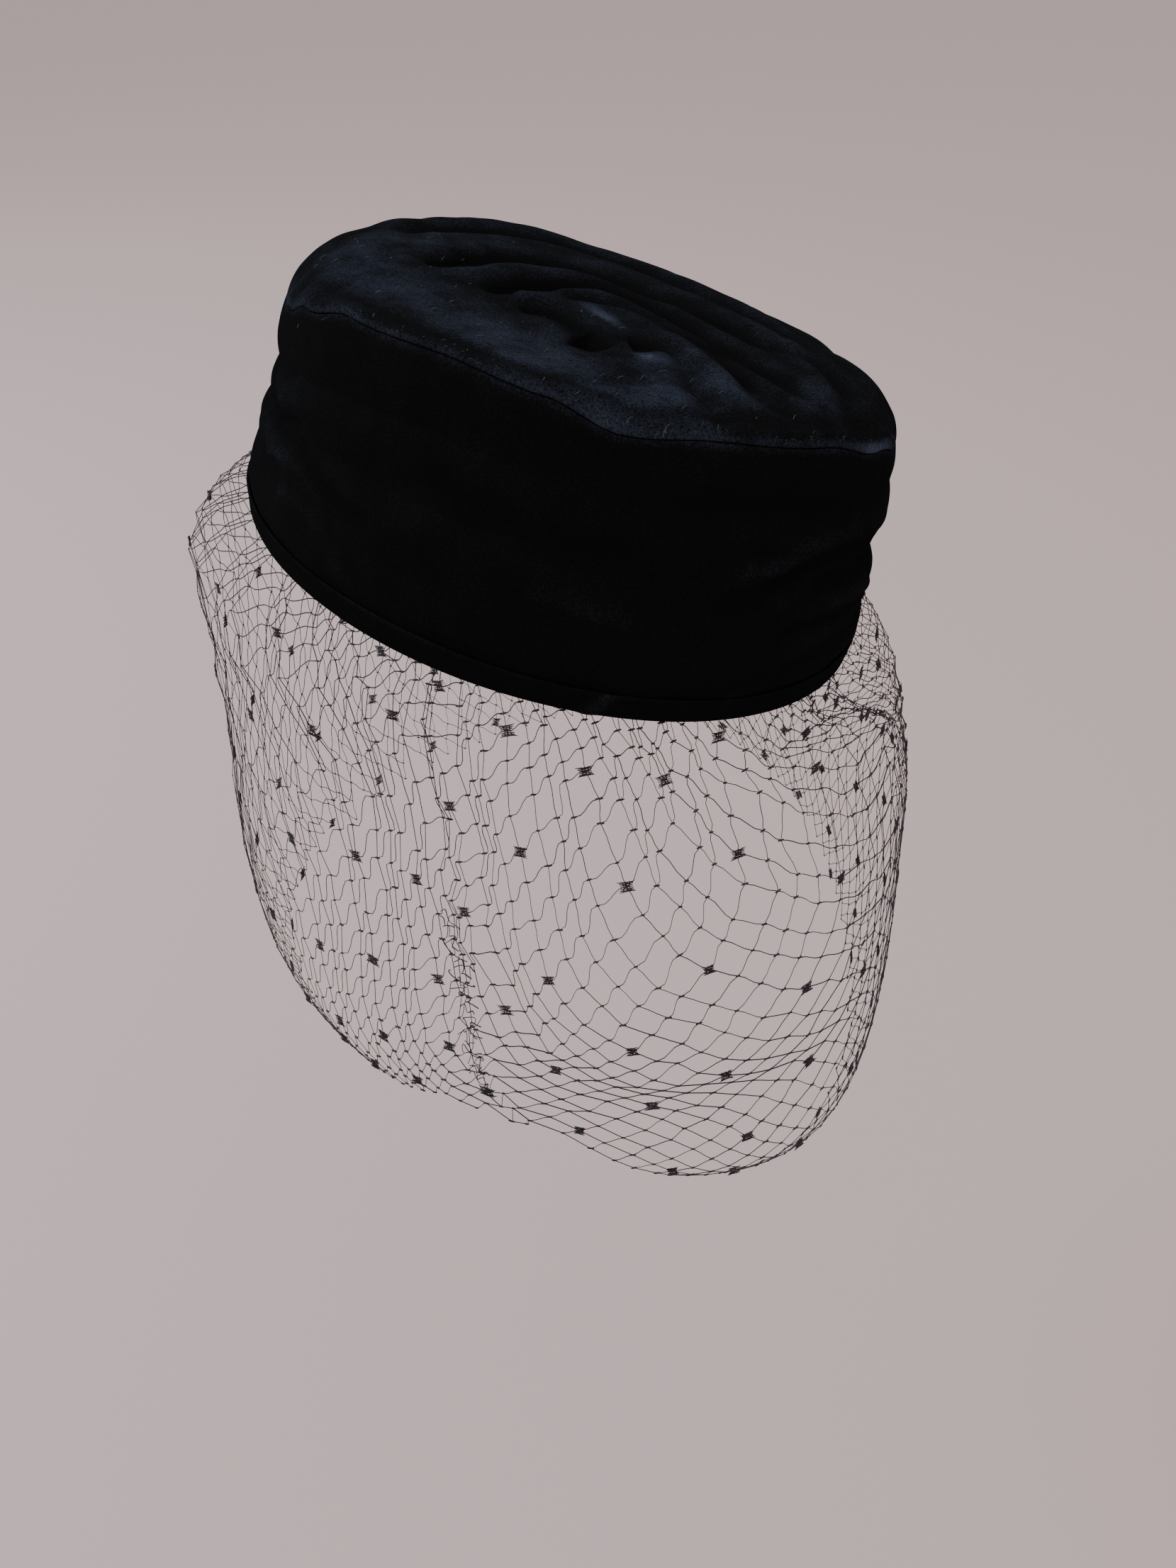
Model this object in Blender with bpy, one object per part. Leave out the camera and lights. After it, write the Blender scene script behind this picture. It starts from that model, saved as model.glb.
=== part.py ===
"""Draped velvet pillbox hat with a net face veil, at the slant at which it is worn.

The hat is a soft drum on an oval plan: a side band draped in level folds, a tip draped in long folds that
gather at the front, and a narrow binding round the head opening. A wide net hangs from inside the rim to
below the chin. Front is -Y, the wearer's left is +X, up is +Z, and the origin is the middle of the head
opening. The crown is modelled level and is then leaned by one parent empty; the net hangs plumb.
"""
import math

import bmesh
import bpy
from mathutils import Matrix, Vector

# Driving dimensions, metres
HALF_LENGTH = 0.102
HALF_WIDTH = 0.087
TIP_HEIGHT = 0.0765
CLOTH = 0.0016
BINDING_CLOTH = 0.0008
GAP = 0.0003
STRAND_WIDTH = 0.0030
STRAND_DEPTH = 0.0014

# Slant of the worn hat: its top leans this far from upright, towards this bearing counted from +X
SLANT = math.radians(10.7)
SLANT_BEARING = math.radians(-36.0)

# How finely the cloth is divided
COLUMNS = 56
NET_COLUMNS = 24
FOLD_SAMPLES = 16

# Level lines of the side band, from the rim up. For each of four bearings: height in mm, and reach, which is
# 1 on the driving oval. A crest is round and a valley is sharp.
BEARINGS = {"front_left": -59.0, "back_left": 45.0, "back_right": 149.0, "front_right": 232.0}
SIDE_FOLDS = [
    # name,          kind,      front_left,     back_left,      back_right,     front_right
    ("rim",          "crest",  (-0.8, 0.983), (-0.8, 0.983), (-0.8, 0.985), (-0.8, 0.983)),
    ("low_roll",     "crest",  (8.0, 1.003),  (8.0, 1.004),  (6.5, 1.006),  (9.0, 1.006)),
    ("low_crease",   "valley", (17.5, 0.986), (17.5, 0.984), (17.0, 0.983), (19.0, 0.996)),
    ("middle_roll",  "crest",  (24.5, 0.990), (24.0, 0.985), (23.0, 0.981), (28.0, 0.992)),
    ("deep_valley",  "valley", (31.0, 0.945), (30.5, 0.946), (29.5, 0.945), (36.0, 0.980)),
    ("upper_roll",   "crest",  (42.0, 0.979), (38.0, 0.965), (34.5, 0.951), (45.0, 0.980)),
    ("high_valley",  "valley", (50.5, 0.956), (45.5, 0.933), (41.4, 0.914), (53.0, 0.968)),
    ("top_roll",     "crest",  (55.0, 0.954), (52.0, 0.945), (49.5, 0.936), (61.0, 0.966)),
]
SIDE_STEPS = {"crest": (0.55, 1.0), "valley": (0.6, 1.0)}

# The seam between side and tip. The shoulder is how squarely the tip turns over there.
SEAM = [
    # bearing, height mm, reach, shoulder
    (-155.0, 75.2, 0.945, 8.0),
    (-140.0, 73.8, 0.950, 8.0),
    (-128.0, 69.6, 0.955, 8.0),
    (-113.0, 71.7, 0.952, 8.0),
    (-93.0, 70.8, 0.948, 8.0),
    (-75.0, 66.0, 0.945, 9.0),
    (-59.0, 61.0, 0.941, 10.5),
    (-32.0, 59.5, 0.938, 4.0),
    (0.0, 59.0, 0.938, 2.5),
    (45.0, 58.5, 0.932, 3.0),
    (85.0, 59.0, 0.930, 6.0),
    (125.0, 57.5, 0.925, 7.5),
    (149.0, 57.0, 0.918, 10.0),
    (160.0, 61.5, 0.928, 11.0),
    (171.0, 67.5, 0.938, 11.0),
    (185.0, 73.2, 0.942, 9.0),
]

# Long folds of the tip, drawn in plan as three points in mm: where each starts, bends and ends. Each one is a
# sharp valley with a soft roll on its left, looking along the way it runs. Valley, roll and width are in mm.
TIP_FOLDS = [
    # name,            start,        bend,          end,         valley, roll, half width
    ("seam_fold",     (-66, -58),   (-62, -84),   (-30, -98),    2.0,    1.0,  7.0),
    ("pit_fold",      (-40, -18),   (-30, -48),   (-12, -94),    2.6,    1.8,  8.0),
    ("middle_fold",   (-44, 6),     (-6, 2),      (0, -94),      3.2,    2.0,  8.0),
    ("back_fold",     (-42, 34),    (28, 36),     (12, -92),     3.2,    2.0,  8.0),
    ("far_fold",      (-22, 62),    (52, 50),     (26, -86),     2.8,    1.8,  8.5),
    ("outer_fold",    (14, 80),     (76, 48),     (44, -74),     2.4,    1.6,  8.5),
]
# Shares of a fold's length over which it grows and fades, and of its width that the valley takes
FOLD_GROWS = 0.22
FOLD_FADES = 0.12
VALLEY_SHARE = 0.55
# The tip's round lip over the seam, and the strip beside it that the folds leave smooth, as shares of the reach
LIP_HEIGHT = 0.0022
LIP_WIDTH = 0.025
SMOOTH_EDGE = 0.09
TIP_RINGS = (1.0, 0.9985, 0.992, 0.978, 0.95, 0.91, 0.86, 0.80, 0.74, 0.67,
             0.60, 0.53, 0.46, 0.39, 0.32, 0.25, 0.17, 0.09)

# Section of the binding, mm: outwards from the band's outer face, and height. Its middle is inside the band.
BINDING_SECTION = [(1.5, 5.0), (1.5, -1.0), (-0.6, -2.2), (-2.9, -1.0), (-2.9, 6.0)]
BINDING_MIDDLE = 0.97

# Rings of knots of the net, mm: how far each hangs below the rim, where its middle lies, and its size.
# The chin share narrows the ring towards its front. Leans are in degrees, to the front left and front right.
VEIL_RINGS = [
    # drop,  side, back, half width, half length, chin share, lean left, lean right
    (14.0,   6.5,   7.5, 106.5, 113.5, 0.03, 10.5,  2.0),
    (58.0,   0.5, -16.0, 107.0, 115.5, 0.11,  9.5,  6.5),
    (108.0, -4.5, -29.5, 103.5, 110.0, 0.21,  8.7, 11.5),
    (150.0,  7.0, -23.0, 100.0,  99.0, 0.28,  8.0, 16.0),
]
HEADING_TOP = 0.0040
HEADING_BOTTOM = -0.0040
HEM_DEPTH = 0.0018


def clear_scene():
    for thing in list(bpy.data.objects):
        bpy.data.objects.remove(thing, do_unlink=True)


def ease(share):
    """Smooth step from 0 to 1."""
    return share * share * (3.0 - 2.0 * share)


def around(table, angle):
    """Reads a table of rows that start with a bearing in degrees, smoothly and closed round the circle."""
    rows = sorted((row[0] % 360.0, row) for row in table)
    bearing = math.degrees(angle) % 360.0
    for (low, first), (high, second) in zip(rows, rows[1:] + [(rows[0][0] + 360.0, rows[0][1])]):
        if bearing < rows[0][0]:
            bearing += 360.0
        if low <= bearing <= high:
            share = ease((bearing - low) / (high - low))
            return [a + (b - a) * share for a, b in zip(first[1:], second[1:])]
    raise ValueError("bearing outside the table")


def oval_point(angle, reach, height, outward=0.0):
    """Point on the hat's oval: reach scales it and outward moves it square to its side."""
    across, along = HALF_WIDTH * reach, HALF_LENGTH * reach
    normal = Vector((along * math.cos(angle), across * math.sin(angle), 0.0)).normalized()
    return Vector((across * math.cos(angle), along * math.sin(angle), height)) + normal * outward


def seam_at(angle):
    """Height, reach and shoulder of the seam at a bearing."""
    height, reach, shoulder = around(SEAM, angle)
    return height / 1000.0, reach, shoulder


def side_levels():
    """Steps up the side band: (row below, row above, share of the way)."""
    steps = [(0, 0, 0.0)]
    for row in range(len(SIDE_FOLDS) - 1):
        steps += [(row, row + 1, share) for share in SIDE_STEPS[SIDE_FOLDS[row][1]]]
    return steps + [(len(SIDE_FOLDS) - 1, len(SIDE_FOLDS), 1.0)]


def fold_row(row, angle):
    """Height and reach of one level line at a bearing; the row past the last is the seam."""
    if row == len(SIDE_FOLDS):
        height, reach, _ = seam_at(angle)
        return height - GAP / 2.0, reach
    table = [(bearing, *SIDE_FOLDS[row][2 + place]) for place, bearing in enumerate(BEARINGS.values())]
    height, reach = around(table, angle)
    if row:
        plain = around([(b, seam_at(math.radians(b))[0]) for b in BEARINGS.values()], angle)[0]
        height *= seam_at(angle)[0] / plain
    return height / 1000.0, reach


def side_point(step, angle):
    """Point on the outer face of the side band."""
    below, above, share = step
    low_height, low_reach = fold_row(below, angle)
    high_height, high_reach = fold_row(above, angle)
    kind = SIDE_FOLDS[below][1]
    bend = share * share if kind == "crest" else 1.0 - (1.0 - share) ** 2
    return oval_point(angle, low_reach + (high_reach - low_reach) * bend,
                      low_height + (high_height - low_height) * share)


def rim_reach(angle, height=0.0):
    """Reach of the side band's outer face close above the rim."""
    low_height, low_reach = fold_row(0, angle)
    high_height, high_reach = fold_row(1, angle)
    share = max(0.0, (height - low_height) / (high_height - low_height))
    return low_reach + (high_reach - low_reach) * share * share


def fold_curve(start, bend, end):
    """Points along one long fold of the tip, in metres."""
    a, b, c = (Vector(p) / 1000.0 for p in (start, bend, end))
    shares = [i / FOLD_SAMPLES for i in range(FOLD_SAMPLES + 1)]
    return [a * (1 - t) ** 2 + b * 2 * t * (1 - t) + c * t * t for t in shares]


def fold_relief(curve, valley, roll, half_width, place):
    """Height that one fold adds at a plan point: a valley on its line and a roll to its left."""
    best = None
    for number, (head, tail) in enumerate(zip(curve, curve[1:])):
        run = tail - head
        share = max(0.0, min(1.0, (place - head).dot(run) / run.length_squared))
        gap = place - (head + run * share)
        if best is None or gap.length < best[0]:
            side = run.x * gap.y - run.y * gap.x
            best = (gap.length, math.copysign(gap.length, side), (number + share) / FOLD_SAMPLES)
    distance, signed, along = best
    width = half_width / 1000.0
    strength = ease(min(1.0, along / FOLD_GROWS)) * ease(min(1.0, (1.0 - along) / FOLD_FADES))
    dip = valley * math.exp(-(distance / (VALLEY_SHARE * width)) ** 2)
    swell = roll * math.exp(-((signed - width) / width) ** 2)
    return strength * (swell - dip) / 1000.0


def tip_point(ring, angle, folds):
    """Point on the outer face of the tip: a lip at the seam, a round shoulder and the long folds."""
    height, reach, shoulder = seam_at(angle)
    height += GAP / 2.0
    place = oval_point(angle, reach * ring, 0.0)
    turn = max(0.0, (ring - (1.0 - LIP_WIDTH)) / LIP_WIDTH)
    lip = LIP_HEIGHT * math.sqrt(max(0.0, 1.0 - turn * turn))
    rise = (TIP_HEIGHT - LIP_HEIGHT - height) * (1.0 - ring ** shoulder)
    plan = Vector((place.x, place.y))
    relief = sum(fold_relief(curve, valley, roll, width, plan) for curve, valley, roll, width in folds)
    fade = ease(min(1.0, (1.0 - ring) / SMOOTH_EDGE))
    place.z = height + lip + rise + relief * fade
    return place


def material(name, colour, roughness):
    made = bpy.data.materials.new(name)
    made.use_nodes = True
    shader = made.node_tree.nodes["Principled BSDF"]
    shader.inputs["Base Color"].default_value = (*colour, 1.0)
    shader.inputs["Roughness"].default_value = roughness
    shader.inputs["Metallic"].default_value = 0.0
    return made


def ring_sheet(columns, levels, place, close_top=False):
    """Tube drawn up ring by ring from one circle; place(level, angle) says where each corner goes."""
    bm = bmesh.new()
    bearing = bm.verts.layers.float.new("bearing")
    for vert in bmesh.ops.create_circle(bm, segments=columns, radius=1.0)["verts"]:
        vert[bearing] = math.atan2(vert.co.y, vert.co.x)
        vert.co = place(levels[0], vert[bearing])
    edges = list(bm.edges)
    for level in levels[1:]:
        drawn = bmesh.ops.extrude_edge_only(bm, edges=edges)["geom"]
        edges = [part for part in drawn if isinstance(part, bmesh.types.BMEdge)]
        for vert in (part for part in drawn if isinstance(part, bmesh.types.BMVert)):
            vert.co = place(level, vert[bearing])
    if close_top:
        drawn = bmesh.ops.extrude_edge_only(bm, edges=edges)["geom"]
        last = [part for part in drawn if isinstance(part, bmesh.types.BMVert)]
        middle = sum((vert.co for vert in last), Vector()) / len(last)
        bmesh.ops.pointmerge(bm, verts=last, merge_co=middle)
    return bm


def sheet_object(name, bm, finish, thickness, offset, parent):
    """Object from an open sheet, given its thickness by a Solidify modifier."""
    mesh = bpy.data.meshes.new(name)
    bm.to_mesh(mesh)
    bm.free()
    mesh.shade_smooth()
    mesh.materials.append(finish)
    thing = bpy.data.objects.new(name, mesh)
    bpy.context.collection.objects.link(thing)
    thing.parent = parent
    wall = thing.modifiers.new("Cloth thickness", "SOLIDIFY")
    wall.thickness = thickness
    wall.offset = offset
    return thing


def face_outwards(bm, outside):
    """Makes the faces agree and turns them to the side that outside(face) names for most of them."""
    bmesh.ops.recalc_face_normals(bm, faces=bm.faces)
    wrong = [face for face in bm.faces if face.normal.dot(outside(face)) < 0.0]
    if len(wrong) > len(bm.faces) / 2:
        bmesh.ops.reverse_faces(bm, faces=bm.faces)


def away_from_axis(face):
    middle = face.calc_center_median()
    return Vector((middle.x, middle.y, 0.0))


def crown_side(finish, parent):
    bm = ring_sheet(COLUMNS, side_levels(), side_point)
    face_outwards(bm, away_from_axis)
    return sheet_object("crown_side", bm, finish, CLOTH, -1.0, parent)


def crown_tip(finish, parent):
    folds = [(fold_curve(start, bend, end), valley, roll, width)
             for _, start, bend, end, valley, roll, width in TIP_FOLDS]
    bm = ring_sheet(COLUMNS, TIP_RINGS, lambda ring, angle: tip_point(ring, angle, folds), close_top=True)
    face_outwards(bm, lambda face: Vector((0.0, 0.0, 1.0)))
    return sheet_object("crown_tip", bm, finish, CLOTH, -1.0, parent)


def rim_binding(finish, parent):
    def place(corner, angle):
        outward, height = (size / 1000.0 for size in corner)
        return oval_point(angle, rim_reach(angle, height), height, outward)

    def away_from_band(face):
        middle = face.calc_center_median()
        inside = middle.xy.length < oval_point(math.atan2(middle.y, middle.x), BINDING_MIDDLE, 0.0).length
        return away_from_axis(face) * (-1.0 if inside else 1.0)

    bm = ring_sheet(COLUMNS, BINDING_SECTION, place)
    face_outwards(bm, away_from_band)
    return sheet_object("rim_binding", bm, finish, BINDING_CLOTH, -1.0, parent)


def lean(left, right):
    """Turn that lowers the front left by one angle and the front right by another."""
    away = Vector((math.cos(SLANT_BEARING + math.pi / 2), math.sin(SLANT_BEARING + math.pi / 2), 0.0))
    beside = Vector((math.cos(SLANT_BEARING), math.sin(SLANT_BEARING), 0.0))
    return Matrix.Rotation(left, 3, away) @ Matrix.Rotation(right, 3, beside)


def veil_point(row, angle):
    """Knot of the net on one ring of the table, in world space."""
    drop, side, back, width, length, chin, left, right = row
    across = width * math.cos(angle) * (1.0 + chin * math.sin(angle))
    offset = Vector((across, length * math.sin(angle), 0.0)) / 1000.0
    return Vector((side, back, -drop)) / 1000.0 + lean(math.radians(left), math.radians(right)) @ offset


def heading_point(height, angle):
    """Point on the gathered heading, which is stitched inside the binding."""
    inset = BINDING_SECTION[-1][0] / 1000.0 - GAP - STRAND_DEPTH / 2.0
    return lean(SLANT, 0.0) @ oval_point(angle, rim_reach(angle), height, inset)


def veil_net(finish):
    """Coarse net: diamonds between rings of knots, each one cut through, with a heading and a hem."""
    bm = bmesh.new()
    step = 2.0 * math.pi / NET_COLUMNS

    def ring(place, shift=0.0):
        return [bm.verts.new(place(step * (i + shift))) for i in range(NET_COLUMNS)]

    def after(i):
        return (i + 1) % NET_COLUMNS

    # Every second ring of knots is shifted by half a mesh
    top = ring(lambda angle: heading_point(HEADING_TOP, angle))
    rings = [ring(lambda angle: heading_point(HEADING_BOTTOM, angle))]
    for number, row in enumerate(VEIL_RINGS, 1):
        rings.append(ring(lambda angle: veil_point(row, angle), 0.5 * (number % 2)))
    hem_row = (VEIL_RINGS[-1][0] + HEM_DEPTH * 1000.0, *VEIL_RINGS[-1][1:])
    last_shifted = len(VEIL_RINGS) % 2
    hem = ring(lambda angle: veil_point(hem_row, angle), 0.5 * last_shifted)

    gaps = []
    for i in range(NET_COLUMNS):
        bm.faces.new((top[i], rings[0][i], rings[0][after(i)], top[after(i)]))
        bm.faces.new((rings[-1][i], hem[i], hem[after(i)], rings[-1][after(i)]))
        peak = rings[-2][after(i) if last_shifted else i]
        gaps.append(bm.faces.new((rings[0][i], rings[1][i], rings[0][after(i)])))
        gaps.append(bm.faces.new((peak, rings[-1][i], rings[-1][after(i)])))
    for number in range(1, len(rings) - 1):
        above, level, below = rings[number - 1:number + 2]
        for i in range(NET_COLUMNS):
            peak = after(i) if number % 2 else i
            gaps.append(bm.faces.new((above[peak], level[i], below[peak], level[after(i)])))
    face_outwards(bm, away_from_axis)
    bmesh.ops.inset_individual(bm, faces=gaps, thickness=STRAND_WIDTH / 2.0, use_even_offset=True)
    bmesh.ops.delete(bm, geom=gaps, context="FACES")
    return sheet_object("veil_net", bm, finish, STRAND_DEPTH, 0.0, None)


def build():
    clear_scene()
    slant = bpy.data.objects.new("slant_of_the_worn_hat", None)
    bpy.context.collection.objects.link(slant)
    slant.matrix_world = lean(SLANT, 0.0).to_4x4()
    velvet = material("black_velvet", (0.004, 0.004, 0.006), 0.9)
    binding = material("black_velvet_binding", (0.003, 0.003, 0.004), 0.9)
    net = material("black_rayon_net", (0.008, 0.007, 0.010), 0.6)
    crown_side(velvet, slant)
    crown_tip(velvet, slant)
    rim_binding(binding, slant)
    veil_net(net)
    bpy.context.view_layer.update()


build()
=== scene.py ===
"""Draped black velvet pillbox hat with a dotted net veil: its finish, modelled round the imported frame.

Front is -Y, left as worn is +X, up is +Z, and the origin is the middle of the head opening. Bearings are in
degrees from +X towards +Y. The hat is modelled level and then leaned; the net is modelled as it hangs. Tables
are in millimetres and degrees, and single values in metres unless their comment says otherwise.
"""

import math
import random

import bpy
import numpy as np
from mathutils import Matrix, Vector


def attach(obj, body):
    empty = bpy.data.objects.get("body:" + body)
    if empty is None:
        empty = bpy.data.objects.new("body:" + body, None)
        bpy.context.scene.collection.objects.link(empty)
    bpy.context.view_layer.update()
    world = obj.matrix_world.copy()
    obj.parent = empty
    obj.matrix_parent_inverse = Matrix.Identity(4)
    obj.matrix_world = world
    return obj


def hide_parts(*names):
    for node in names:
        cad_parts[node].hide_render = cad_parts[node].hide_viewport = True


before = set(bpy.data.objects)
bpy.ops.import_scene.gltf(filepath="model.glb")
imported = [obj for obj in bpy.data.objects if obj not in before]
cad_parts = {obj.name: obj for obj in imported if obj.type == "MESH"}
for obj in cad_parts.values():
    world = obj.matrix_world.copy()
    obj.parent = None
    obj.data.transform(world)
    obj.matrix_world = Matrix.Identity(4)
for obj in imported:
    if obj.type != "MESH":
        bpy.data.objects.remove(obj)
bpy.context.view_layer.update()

# Driving dimensions of the hat, in metres and radians
HALF_LENGTH = 0.102
HALF_WIDTH = 0.087
TIP_HEIGHT = 0.0765
CLOTH = 0.0016
BINDING_CLOTH = 0.0008
GAP = 0.0003
SLANT = math.radians(10.7)
SLANT_BEARING = math.radians(-36.0)

# Fineness of the velvet, in squares of its grids
SIDE_COLUMNS = 480
LINES_PER_FOLD = 10
TIP_SQUARES = 200
BINDING_COLUMNS = 480
BINDING_LINES = 18

# Level lines of the side band from the rim up: height in mm and reach at each of four bearings
BEARINGS = (-59.0, 45.0, 149.0, 232.0)
SIDE_FOLDS = [
    # name,          kind,      front_left,     back_left,      back_right,     front_right
    ("rim",          "crest",  (-0.8, 0.983), (-0.8, 0.983), (-0.8, 0.985), (-0.8, 0.983)),
    ("low_roll",     "crest",  (8.0, 1.003),  (8.0, 1.004),  (6.5, 1.006),  (9.0, 1.006)),
    ("low_crease",   "valley", (17.5, 0.986), (17.5, 0.984), (17.0, 0.983), (19.0, 0.996)),
    ("middle_roll",  "crest",  (24.5, 0.990), (24.0, 0.985), (23.0, 0.981), (28.0, 0.992)),
    ("deep_valley",  "valley", (31.0, 0.945), (30.5, 0.946), (29.5, 0.945), (36.0, 0.980)),
    ("upper_roll",   "crest",  (42.0, 0.979), (38.0, 0.965), (34.5, 0.951), (45.0, 0.980)),
    ("high_valley",  "valley", (50.5, 0.956), (45.5, 0.933), (41.4, 0.914), (53.0, 0.968)),
    ("top_roll",     "crest",  (55.0, 0.954), (52.0, 0.945), (49.5, 0.936), (61.0, 0.966)),
]

# The seam between side and tip; the shoulder is how squarely the tip turns over there
SEAM = [
    # bearing, height, reach, shoulder
    (-155.0, 75.2, 0.945, 8.0),
    (-140.0, 73.8, 0.950, 8.0),
    (-128.0, 69.6, 0.955, 8.0),
    (-113.0, 71.7, 0.952, 8.0),
    (-93.0, 70.8, 0.948, 8.0),
    (-75.0, 66.0, 0.945, 9.0),
    (-59.0, 61.0, 0.941, 10.5),
    (-32.0, 59.5, 0.938, 4.0),
    (0.0, 59.0, 0.938, 2.5),
    (45.0, 58.5, 0.932, 3.0),
    (85.0, 59.0, 0.930, 6.0),
    (125.0, 57.5, 0.925, 7.5),
    (149.0, 57.0, 0.918, 10.0),
    (160.0, 61.5, 0.928, 11.0),
    (171.0, 67.5, 0.938, 11.0),
    (185.0, 73.2, 0.942, 9.0),
]
# The tip turns over in a lip at the seam. The lip's width, and that of the edge where creases fade, are shares of
# the tip.
LIP_HEIGHT = 0.0022
LIP_WIDTH = 0.025
SMOOTH_EDGE = 0.09
# Strips of the side band that its creases leave smooth, as shares of its height
RIM_STRIP = 0.14
SEAM_STRIP = 0.12

# Creases: the points each runs through, how deep its valley is and how wide, and how high the cloth rolls up on
# its left and on its right, looking along it. A negative valley is a ridge. On the tip the points are in plan.
TIP_CREASES = [
    # name, points in mm, valley, half width, left roll, right roll
    ("far_pocket", ((-43, 26), (-33, 23), (-18, 26), (-4, 21), (8, 10), (15, -6), (19, -27), (17, -60), (6, -97)),
     4.2, 4.5, 1.5, 1.0),
    ("middle_pocket", ((-40, 0), (-28, 2), (-16, 3), (-1, 1), (6, -12), (7, -31), (5, -52), (3, -75), (0, -99)),
     4.4, 4.5, 1.6, 1.2),
    ("thin_valley", ((-20, -8), (-12, -10), (-5, -15), (-1, -25), (-3, -41), (-6, -56), (-6, -78), (-4, -100)),
     1.9, 3.0, 1.0, 1.0),
    ("pit_groove", ((-37, -13), (-30, -17), (-28, -25), (-31, -37), (-29, -44)), 2.6, 3.6, 1.6, 0.3),
    ("pit", ((-33, -34), (-31, -38), (-29, -43)), 3.4, 6.0, 0.0, 0.0),
    ("second_pit", ((-21, -40), (-17, -43), (-14, -48)), 2.8, 4.5, 0.4, 0.0),
    ("puff_edge", ((-15, -44), (-14, -51), (-18, -60), (-24, -68), (-28, -77), (-31, -86), (-29, -93), (-24, -99)),
     2.2, 3.2, 0.6, 1.4),
    ("lobe_top", ((-60, -63), (-46, -62), (-34, -65), (-27, -72)), 1.0, 3.0, 0.4, 0.9),
    ("lobe_shadow", ((-66, -62), (-62, -68), (-59, -75), (-58, -82), (-54, -88), (-48, -92), (-40, -96)),
     3.2, 3.6, 1.5, 0.2),
    ("front_dark", ((0, -34), (0, -49), (-3, -58), (-7, -69), (-11, -78), (-9, -86), (-7, -98)),
     2.6, 3.6, 0.8, 1.5),
    ("front_pleat", ((8, -82), (2, -91), (-8, -102)), 1.7, 3.0, 0.8, 0.9),
    ("far_arc", ((22, -46), (25, -62), (19, -80), (4, -101)), 2.2, 3.6, 0.9, 1.1),
    ("crown_arc", ((-34, 53), (-20, 54), (0, 51), (20, 39), (32, 18), (38, -10), (35, -44), (24, -76), (8, -100)),
     3.0, 4.5, 1.4, 1.3),
    ("outer_arc", ((-16, 70), (14, 70), (40, 48), (54, 14), (52, -28), (36, -66), (14, -100)),
     2.6, 4.5, 1.4, 1.3),
    ("rear_arc", ((20, 88), (52, 66), (70, 20), (66, -30), (46, -70)), 1.7, 4.5, 0.8, 0.8),
    ("inner_seam", ((-82, -10), (-78, -22), (-74, -36), (-69, -50), (-65, -60)), 1.3, 5.0, 1.1, 0.0),
    ("left_pucker", ((-72, 26), (-58, 44), (-40, 62), (-22, 80)), 1.0, 4.0, 0.5, 0.6),
]
# On the side band the points are a bearing in degrees and a height in mm
SIDE_CREASES = [
    ("notch", ((-58, 37), (-74, 40), (-83, 42), (-89, 41), (-96, 37), (-103, 33), (-112, 31)), 2.4, 3.2, 0.6, 1.0),
    ("under_notch", ((-60, 30), (-72, 32), (-84, 33), (-94, 29), (-104, 23)), 1.3, 3.0, 0.5, 0.6),
    ("second_notch", ((-62, 21), (-74, 23), (-83, 24), (-90, 24), (-99, 21)), 1.6, 2.8, 0.6, 0.9),
    ("low_notch", ((-58, 13), (-70, 15), (-84, 14), (-95, 10)), 1.2, 3.0, 0.5, 0.6),
    ("dent", ((-104, 47), (-99, 45), (-95, 46)), 1.2, 3.0, 0.3, 1.0),
    ("small_dent", ((-103, 9), (-99, 10), (-94, 11)), 0.7, 2.2, 0.2, 0.6),
    ("near_ridge", ((-138, 28), (-131, 27), (-124, 26), (-117, 25), (-108, 22)), -0.8, 3.0, 0.0, 0.0),
    ("high_sag", ((-80, 52), (-96, 56), (-112, 57), (-128, 54)), 0.7, 5.0, 0.4, 0.4),
    ("near_sag", ((-120, 44), (-134, 41), (-148, 44), (-160, 50)), 0.8, 5.0, 0.4, 0.4),
    ("curl", ((-198, 21), (-192, 27), (-187, 28), (-181, 29), (-174, 24)), -1.1, 1.5, 0.0, 0.0),
    ("curl_hollow", ((-200, 33), (-190, 33), (-182, 33), (-172, 29), (-162, 27)), 1.4, 2.6, 0.5, 0.3),
    ("curl_tail", ((-190, 19), (-183, 20), (-176, 19), (-168, 15)), -0.7, 2.0, 0.0, 0.0),
    ("streak", ((-171, 15), (-167, 10), (-163, 5)), -0.6, 1.8, 0.0, 0.0),
    ("side_fan", ((176, 40), (164, 35), (150, 36), (136, 42)), 1.6, 3.2, 0.8, 0.8),
    ("back_slant", ((134, 44), (120, 36), (104, 30), (88, 31)), 2.0, 3.2, 0.9, 0.9),
    ("back_low", ((122, 16), (106, 10), (88, 9), (68, 15)), 1.5, 3.0, 0.7, 0.7),
    ("back_high", ((96, 49), (80, 43), (62, 39), (40, 43)), 1.7, 3.0, 0.8, 0.8),
    ("far_slant", ((52, 34), (34, 26), (14, 21), (-8, 25)), 1.9, 3.2, 0.9, 0.9),
    ("far_low", ((24, 13), (8, 8), (-10, 8), (-30, 14)), 1.4, 3.0, 0.7, 0.7),
    ("far_high", ((18, 53), (2, 47), (-16, 45), (-38, 50)), 1.5, 3.0, 0.8, 0.8),
]
MM_PER_DEGREE = 1.65
# The parts a crease's line is cut into, the shares of it over which it deepens and fades, and the share of its
# strength that is left at its end
CREASE_STEPS = 40
CREASE_GROWS = 0.10
CREASE_FADES = 0.18
CREASE_TAIL = 0.5

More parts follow.
